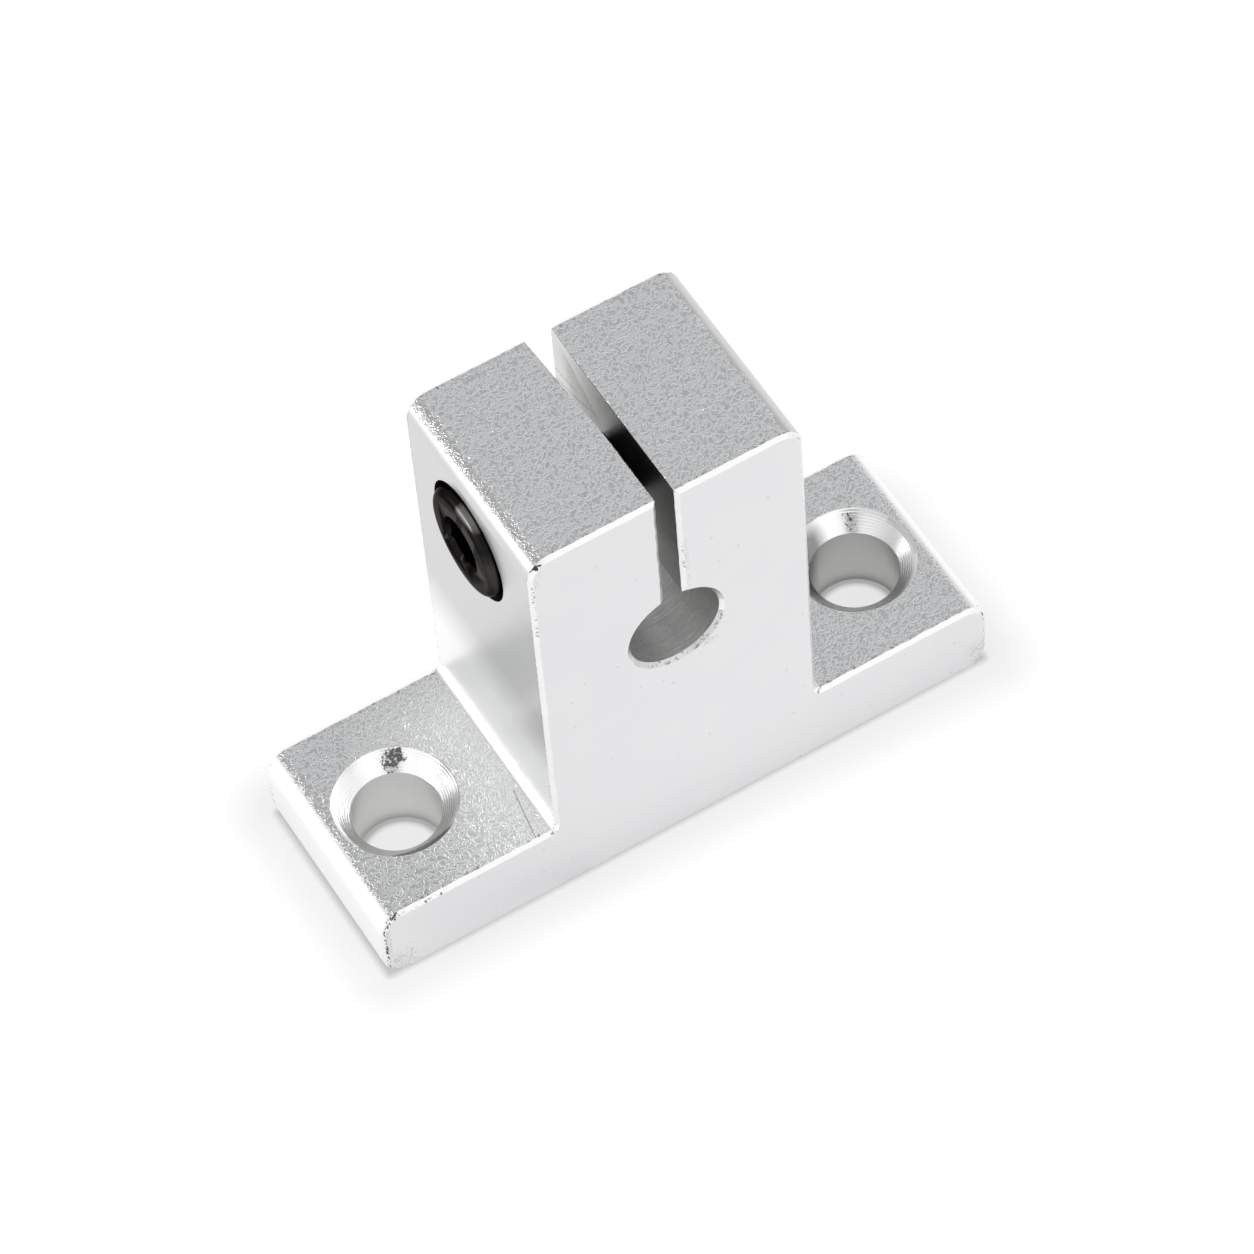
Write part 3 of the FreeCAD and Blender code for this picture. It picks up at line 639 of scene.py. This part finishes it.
def make_screw():
    """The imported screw's head and socket, with a cut thread in place of its plain shank."""
    screw = merged_copy("clamp_screw")
    under_head = screw_low.x + HEAD_HEIGHT
    tip = screw_high.x
    shank = [f for f in screw.faces if f.calc_center_median().x > under_head + TINY]
    bmesh.ops.delete(screw, geom=shank, context="FACES")
    seat_loop = [e for e in screw.edges if e.is_boundary]

    def radius_at(x, radius):
        run_out = min(max((x - under_head - THREAD_NECK) / THREAD_RUN_OUT, 0), 1)
        faded = SHANK_RADIUS + (radius - SHANK_RADIUS) * run_out
        return min(faded, SHANK_RADIUS - TIP_CHAMFER + max(tip - x, 0))

    neck_loop, tip_loop = wind_thread(screw, under_head + THREAD_START, tip, SHANK_RADIUS, THREAD_DEPTH,
                                      radius_at)
    bmesh.ops.bridge_loops(screw, edges=seat_loop + neck_loop)
    bmesh.ops.contextual_create(screw, geom=tip_loop)
    bmesh.ops.recalc_face_normals(screw, faces=screw.faces)
    for face in screw.faces:
        middle = face.calc_center_median()
        in_flats = from_axis(middle) < SOCKET_CORNER_RADIUS and middle.x > screw_low.x + SOCKET_LEAD_IN
        in_mouth = from_axis(middle) < SOCKET_MOUTH_RADIUS and middle.x > screw_low.x + TINY
        # Painted shade: the upper side of the socket's lead-in takes the socket's black.
        mouth_in_painted_shade = in_mouth and middle.z > SCREW_AXIS.z
        face.material_index = int((in_flats or mouth_in_painted_shade) and middle.x < under_head - TINY)
    return finish_piece("socket_head_clamp_screw", screw, [black_oxide(), black_socket_and_painted_shade()], "screw",
                        "clamp_screw")


# Support block

def is_break(face):
    """True for the 45 degree faces along the two saw cuts."""
    slanted = abs(abs(face.normal.y) - math.sqrt(0.5)) < 0.02
    return slanted and abs(abs(face.calc_center_median().y) - DEPTH_HALF + EDGE_BREAK / 2) < CLOSE


def edges_between(solid, test):
    """The edges whose two ends both pass a test."""
    return [e for e in solid.edges if all(test(v.co) for v in e.verts)]


def divide_breaks(solid):
    """Divide the long faces of the edge break into short lengths."""
    for face in [f for f in solid.faces if is_break(f)]:
        sides = sorted(face.edges, key=lambda e: -e.calc_length())[:2]
        cuts = int(sides[0].calc_length() / RAG_STEP)
        if cuts > 1:
            bmesh.ops.subdivide_edges(solid, edges=sides, cuts=cuts, use_grid_fill=True)


def frame_flats(solid):
    """Give each large flat beside a rounding a narrow border, so that its middle is shaded flat."""
    def beside_rounding(face):
        return any(FLAT_ANGLE < e.calc_face_angle(0) < SMOOTH_ANGLE for e in face.edges)

    flats = [f for f in solid.faces if f.calc_area() > LEAST_FLAT_AREA and beside_rounding(f)]
    bmesh.ops.inset_individual(solid, faces=flats, thickness=FLAT_BORDER, use_even_offset=True)


def roughen_breaks(solid):
    """Move both sides of the edge break in and out, each along the surface that it ends on."""
    wander = {}
    for face in solid.faces:
        if is_break(face):
            outward = Vector((face.normal.x, 0, face.normal.z)).normalized()
            for vert in face.verts:
                wander[vert] = wander.get(vert, Vector()) + outward
    for vert, outward in wander.items():
        at = vert.co / RAG_WAVE
        if abs(abs(vert.co.y) - DEPTH_HALF) < TINY:
            vert.co += outward.normalized() * RAG * noise.noise(at)
        else:
            vert.co.y += RAG * noise.noise(at + RAG_SHIFT)


def file_corner(solid):
    """File a facet on the left jaw's top edge beside the slit, wider toward the back.

    The back face spans both jaws, so it is parted down the middle for the cut and joined again after it.
    """
    start = Vector((-SLIT_HALF, FACET_FRONT, TOP))
    along = Vector((-SLIT_HALF - FACET_WIDTH, DEPTH_HALF, TOP)) - start
    down = Vector((-SLIT_HALF, DEPTH_HALF, TOP - FACET_DROP)) - start
    outward = along.cross(down).normalized()
    if outward.x < 0:
        outward.negate()

    def cut(faces, point, way, clear):
        bmesh.ops.bisect_plane(solid, geom=with_edges(faces), dist=TINY / 10, plane_co=point, plane_no=way,
                               clear_outer=clear)

    def near(face):
        beyond = any((v.co - start).dot(outward) > TINY for v in face.verts)
        return beyond and all(v.co.x < TINY for v in face.verts)

    cut([f for f in solid.faces if f.normal.y > 0.9], (0, 0, 0), (1, 0, 0), False)
    cut([f for f in solid.faces if near(f)], start, outward, True)
    rim = [e for e in solid.edges if e.is_boundary]
    bmesh.ops.contextual_create(solid, geom=rim)
    joins = edges_between(solid, lambda p: abs(p.x) < TINY and p.y > DEPTH_HALF - TINY)
    bmesh.ops.dissolve_edges(solid, edges=joins, use_verts=True)
    bmesh.ops.recalc_face_normals(solid, faces=solid.faces)


def soften_rims(solid):
    """Take the sharpness off the rims of the slit, the countersinks and the counterbore."""
    def at_slit(p):
        return abs(abs(p.x) - SLIT_HALF) < TINY and abs(p.z - TOP) < TINY

    def at_countersink(p):
        around = math.hypot(abs(p.x) - BOLT_X, p.y)
        return abs(p.z - FOOT) < TINY and abs(around - COUNTERSINK_RADIUS) < CLOSE

    def at_counterbore(p):
        return abs(p.x + TOWER_HALF) < TINY and abs(from_axis(p) - COUNTERBORE_RADIUS) < CLOSE

    rims = [e for test in (at_slit, at_countersink, at_counterbore) for e in edges_between(solid, test)]
    bmesh.ops.bevel(solid, geom=rims, offset=RIM, offset_type="OFFSET", segments=2, profile=0.5,
                    affect="EDGES", material=-1, clamp_overlap=True)


def finish_of(face):
    """Which finish a face of the block has, by where it is and where it faces."""
    centre, normal = face.calc_center_median(), face.normal
    across = abs(centre.x)
    from_bolt = math.hypot(across - BOLT_X, centre.y)
    from_bore = math.hypot(centre.x, centre.z - SHAFT_HEIGHT)
    from_screw = from_axis(centre)
    if is_break(face):
        return "edge"
    if abs(centre.y) > DEPTH_HALF - TINY * 10:
        return "sawn"
    if from_bolt < COUNTERSINK_RADIUS and centre.z < FOOT - TINY:
        if abs(normal.z) > 0.9:
            return "skin"
        return "cone" if abs(normal.z) > 0.3 else "drilled"
    if from_bore < BORE_RADIUS + CLOSE:
        return "bore"
    in_jaw = SLIT_HALF + TINY * 10 < across < TOWER_HALF - TINY * 10
    if in_jaw and from_screw < COUNTERBORE_RADIUS + CLOSE:
        return "counterbore" if from_screw > CLEARANCE_RADIUS + TINY and centre.x < 0 else "drilled"
    if across < SLIT_HALF + TINY * 10 and SHAFT_HEIGHT < centre.z < TOP - RIM:
        return "slit"
    return "skin"


def make_block():
    """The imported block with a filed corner, wavy edge breaks and softened rims, each face in its finish."""
    finishes = {"skin": blasted_aluminium(), "sawn": sawn_end(), "edge": deburred_edge(),
                "cone": turned_cone(), "drilled": drilled_wall(), "counterbore": counterbored_wall(),
                "bore": reamed_bore(), "slit": saw_slit()}
    names = list(finishes)
    solid = merged_copy("support_block")
    file_corner(solid)
    divide_breaks(solid)
    solid.normal_update()
    for face in solid.faces:
        face.material_index = names.index(finish_of(face))
    soften_rims(solid)
    frame_flats(solid)
    roughen_breaks(solid)
    solid.normal_update()
    return finish_piece("clamping_block", solid, finishes.values(), "block",
                        "support_block")


# Studio

VIEW_AZIMUTH = math.radians(-26.578)
VIEW_ELEVATION = math.radians(55.406)
VIEW_ROLL = math.radians(-5.273)
VIEW_DISTANCE = 388.63 * MM
VIEW_AIM = Vector((0.327, 0.0, 11.259)) * MM
LENS = 188.9

# Where the lamps stand from the middle of the floor
LAMP_DISTANCE = 0.6


def place_camera():
    """The photograph's view: long lens, from the front left and above."""
    back = Vector((math.sin(VIEW_AZIMUTH) * math.cos(VIEW_ELEVATION),
                   -math.cos(VIEW_AZIMUTH) * math.cos(VIEW_ELEVATION), math.sin(VIEW_ELEVATION)))
    level = Vector((math.cos(VIEW_AZIMUTH), math.sin(VIEW_AZIMUTH), 0))
    right = Matrix.Rotation(VIEW_ROLL, 3, back) @ level
    data = bpy.data.cameras.new("camera")
    data.lens = LENS
    data.sensor_width = 36
    data.clip_start = 0.01
    camera = bpy.data.objects.new("camera", data)
    turn = Matrix((right, back.cross(right), back)).transposed().to_4x4()
    camera.matrix_world = Matrix.Translation(VIEW_AIM + back * VIEW_DISTANCE) @ turn
    bpy.context.scene.collection.objects.link(camera)
    bpy.context.scene.camera = camera


def floor_glow_with_painted_shadow(tree):
    """How brightly the floor shows by itself, with a painted shadow in it: most in the open and in the
    holes, less close round the base, least in the crack under it."""
    place = add(tree, "ShaderNodeTexCoord").outputs["Object"]
    across = add(tree, "ShaderNodeVectorMath", {0: place}, operation="ABSOLUTE").outputs[0]
    print_half = (BASE_HALF - EDGE_BREAK, DEPTH_HALF - EDGE_BREAK, 0)
    outside = add(tree, "ShaderNodeVectorMath", {0: across, 1: print_half}, operation="SUBTRACT")
    outside = add(tree, "ShaderNodeVectorMath", {0: outside.outputs[0], 1: (0, 0, 0)}, operation="MAXIMUM")
    outside = add(tree, "ShaderNodeVectorMath", {0: outside.outputs[0]}, operation="LENGTH")
    outside = outside.outputs["Value"]
    # Painted shadow: the glow drops close round the base and under it.
    near = add(tree, "ShaderNodeMapRange", {"Value": outside, "From Min": 0.0, "From Max": 0.5 * MM,
                                           "To Min": 0.3, "To Max": 0.62}).outputs[0]
    far = add(tree, "ShaderNodeMapRange", {"Value": outside, "From Min": 0.3 * MM, "From Max": 5 * MM,
                                          "To Min": 0.0, "To Max": 0.16}, interpolation_type="SMOOTHSTEP")
    open_floor = add(tree, "ShaderNodeMath", {0: near, 1: far.outputs[0]}, operation="ADD").outputs[0]
    # Painted shade in the holes: the floor seen through them glows a little less.
    from_hole = add(tree, "ShaderNodeVectorMath", {0: across, 1: (BOLT_X, 0, 0)}, operation="DISTANCE")
    hole = add(tree, "ShaderNodeMapRange", {"Value": from_hole.outputs["Value"],
                                           "From Min": BOLT_RADIUS + 0.2 * MM,
                                           "From Max": BOLT_RADIUS - 0.7 * MM, "To Min": 0.0,
                                           "To Max": 0.7}, interpolation_type="SMOOTHSTEP")
    return largest(tree, [open_floor, hole.outputs[0]])


def make_floor():
    """White floor: seen and mirrored as white, with the object's soft shadow on it, partly rendered and partly
    painted into its glow.
    """
    mesh = bmesh.new()
    bmesh.ops.create_grid(mesh, x_segments=1, y_segments=1, size=2.0)
    data = bpy.data.meshes.new("floor")
    mesh.to_mesh(data)
    mesh.free()
    floor = bpy.data.objects.new("floor", data)
    bpy.context.scene.collection.objects.link(floor)
    material = bpy.data.materials.new("white_paper_floor")
    material.use_nodes = True
    tree = material.node_tree
    tree.nodes.clear()
    path = add(tree, "ShaderNodeLightPath")
    seen = largest(tree, [path.outputs[ray] for ray in ("Is Camera Ray", "Is Glossy Ray",
                                                        "Is Transmission Ray")])
    paper = add(tree, "ShaderNodeBsdfDiffuse", {"Color": linear("E6E6E6")})
    dim_paper = add(tree, "ShaderNodeBsdfDiffuse", {"Color": linear("959595")})
    glow = add(tree, "ShaderNodeEmission", {"Color": linear("FFFFFF"), "Strength": floor_glow_with_painted_shadow(tree)})
    white = add(tree, "ShaderNodeAddShader", {0: dim_paper.outputs[0], 1: glow.outputs[0]})
    mix = add(tree, "ShaderNodeMixShader", {0: seen, 1: paper.outputs[0], 2: white.outputs[0]})
    add(tree, "ShaderNodeOutputMaterial", {"Surface": mix.outputs[0]})
    data.materials.append(material)


def direction(azimuth, elevation):
    """The unit vector toward a place on the tent, by angles in degrees."""
    azimuth, elevation = math.radians(azimuth), math.radians(elevation)
    return Vector((math.cos(azimuth) * math.cos(elevation), math.sin(azimuth) * math.cos(elevation),
                   math.sin(elevation)))


def light_world():
    """White tent, bright in front and low down, grey at the back, with a dark gap under the camera."""
    world = bpy.data.worlds.new("tent")
    bpy.context.scene.world = world
    world.use_nodes = True
    tree = world.node_tree
    tree.nodes.clear()
    way = add(tree, "ShaderNodeTexCoord").outputs["Generated"]
    axes = add(tree, "ShaderNodeSeparateXYZ", {0: way})
    tent = add(tree, "ShaderNodeMapRange", {"Value": axes.outputs["Y"], "From Min": -0.5,
                                           "From Max": 0.35, "To Min": 1.15, "To Max": 0.585},
               interpolation_type="SMOOTHSTEP")
    low = add(tree, "ShaderNodeMapRange", {"Value": axes.outputs["Z"], "From Min": 0.0, "From Max": 0.4,
                                          "To Min": 1.0, "To Max": 0.0}, interpolation_type="SMOOTHSTEP")
    tent = add(tree, "ShaderNodeMix", {0: low.outputs[0], 2: tent.outputs[0], 3: 1.0})
    facing = add(tree, "ShaderNodeVectorMath", {0: way, 1: direction(-118, 36)}, operation="DOT_PRODUCT")
    gap = add(tree, "ShaderNodeMapRange", {"Value": facing.outputs["Value"],
                                          "From Min": math.cos(math.radians(14)),
                                          "From Max": math.cos(math.radians(8)),
                                          "To Min": 1.0, "To Max": 0.1}, interpolation_type="SMOOTHSTEP")
    tent = add(tree, "ShaderNodeMath", {0: tent.outputs[0], 1: gap.outputs[0]}, operation="MULTIPLY")
    path = add(tree, "ShaderNodeLightPath")
    shown = add(tree, "ShaderNodeMix", {0: path.outputs["Is Camera Ray"], 2: tent.outputs[0], 3: 1.0})
    light = add(tree, "ShaderNodeBackground", {"Color": linear("FFFFFF"), "Strength": shown.outputs[0]})
    add(tree, "ShaderNodeOutputWorld", {"Surface": light.outputs[0]})


def add_softbox(name, away, width, height, power):
    """A rectangular area lamp that faces the object from the given direction."""
    data = bpy.data.lights.new(name, "AREA")
    data.shape = "RECTANGLE"
    data.size = width
    data.size_y = height
    data.energy = power
    lamp = bpy.data.objects.new(name, data)
    turn = away.to_track_quat("Z", "Y").to_matrix().to_4x4()
    lamp.matrix_world = Matrix.Translation(away * LAMP_DISTANCE) @ turn
    bpy.context.scene.collection.objects.link(lamp)


make_block()
make_screw()
place_camera()
make_floor()
light_world()
add_softbox("low_left_softbox", direction(146, 10), 0.34, 0.2, 0.5)
add_softbox("left_lamp", direction(173, 18), 0.1, 0.1, 0.7)

bpy.context.scene.view_settings.view_transform = "Standard"
